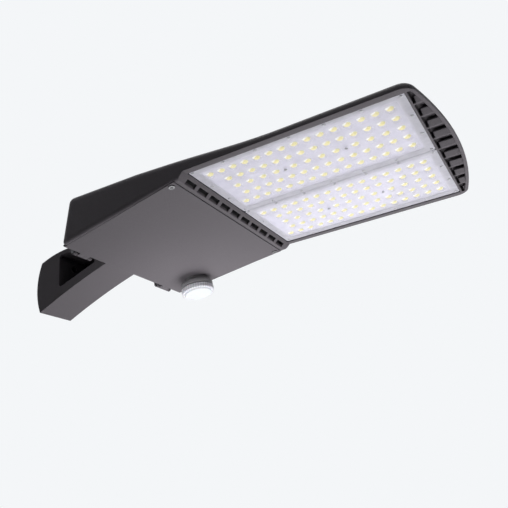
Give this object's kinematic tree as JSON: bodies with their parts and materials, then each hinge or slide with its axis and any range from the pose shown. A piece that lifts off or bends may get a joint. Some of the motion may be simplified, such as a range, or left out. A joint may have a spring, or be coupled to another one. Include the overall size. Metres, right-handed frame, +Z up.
{
  "type": "led area light",
  "caption": "Flat finned LED area light on a curved pole arm, with two clear lens modules, a hinged driver door underneath and a round motion sensor on the door.",
  "frame": {"origin": "centre of the two pole bolts on the plane where the arm's bosses meet the pole", "axes": "+X away from the pole towards the nose, +Z up, +Y to the side that carries the sensor"},
  "size_m": [0.7588, 0.336, 0.121],
  "materials": {
    "bronze_coat": "fine-textured dark bronze powder coat on die-cast aluminium",
    "clear_lens": "clear moulded polycarbonate, slightly frosted between the lenses",
    "led_phosphor": "pale yellow phosphor",
    "board_mask": "white solder mask on an aluminium board",
    "seal_rubber": "black silicone",
    "pale_silicone": "light grey silicone sheet",
    "stainless": "bright stainless steel",
    "sensor_grey": "grey moulded plastic",
    "sensor_white": "white moulded plastic",
    "sensor_window": "milky translucent plastic",
    "plain_sheet": "bare sheet",
    "driver_case": "plain light grey case",
    "dark_case": "dark potted case",
    "ivory_block": "ivory terminal plastic"
  },
  "bodies": {
    "fixture": {"housing": "bronze_coat", "pole_arm": "bronze_coat", "door_gasket": "seal_rubber", "hinge_pins": "stainless", "lens_plate_near": "clear_lens", "lens_plate_far": "clear_lens", "lens_gasket_near": "pale_silicone", "lens_gasket_far": "pale_silicone", "led_board_near": "board_mask", "led_board_far": "board_mask", "leds_near": "led_phosphor", "leds_far": "led_phosphor", "lens_screws": "stainless", "gear_tray": "plain_sheet", "led_driver": "driver_case", "surge_protector": "dark_case", "terminal_block": "ivory_block", "gear_screws": "stainless", "tray_screws": "stainless", "arm_gasket": "seal_rubber", "arm_washers": "stainless", "arm_bolts": "stainless", "wire_grommet": "seal_rubber"},
    "door": {"driver_door": "bronze_coat", "door_screws": "stainless", "sensor_base": "sensor_grey", "sensor_cap": "sensor_white", "sensor_lens": "sensor_window", "sensor_gasket": "seal_rubber", "sensor_nut": "sensor_grey"}
  },
  "joints": [
    {"name": "door_hinge", "type": "hinge", "parent": "fixture", "child": "door", "pos_m": [0.16462, 0, -0.01376], "axis": [0, 1, 0], "range_deg": [0, 85]}
  ]
}
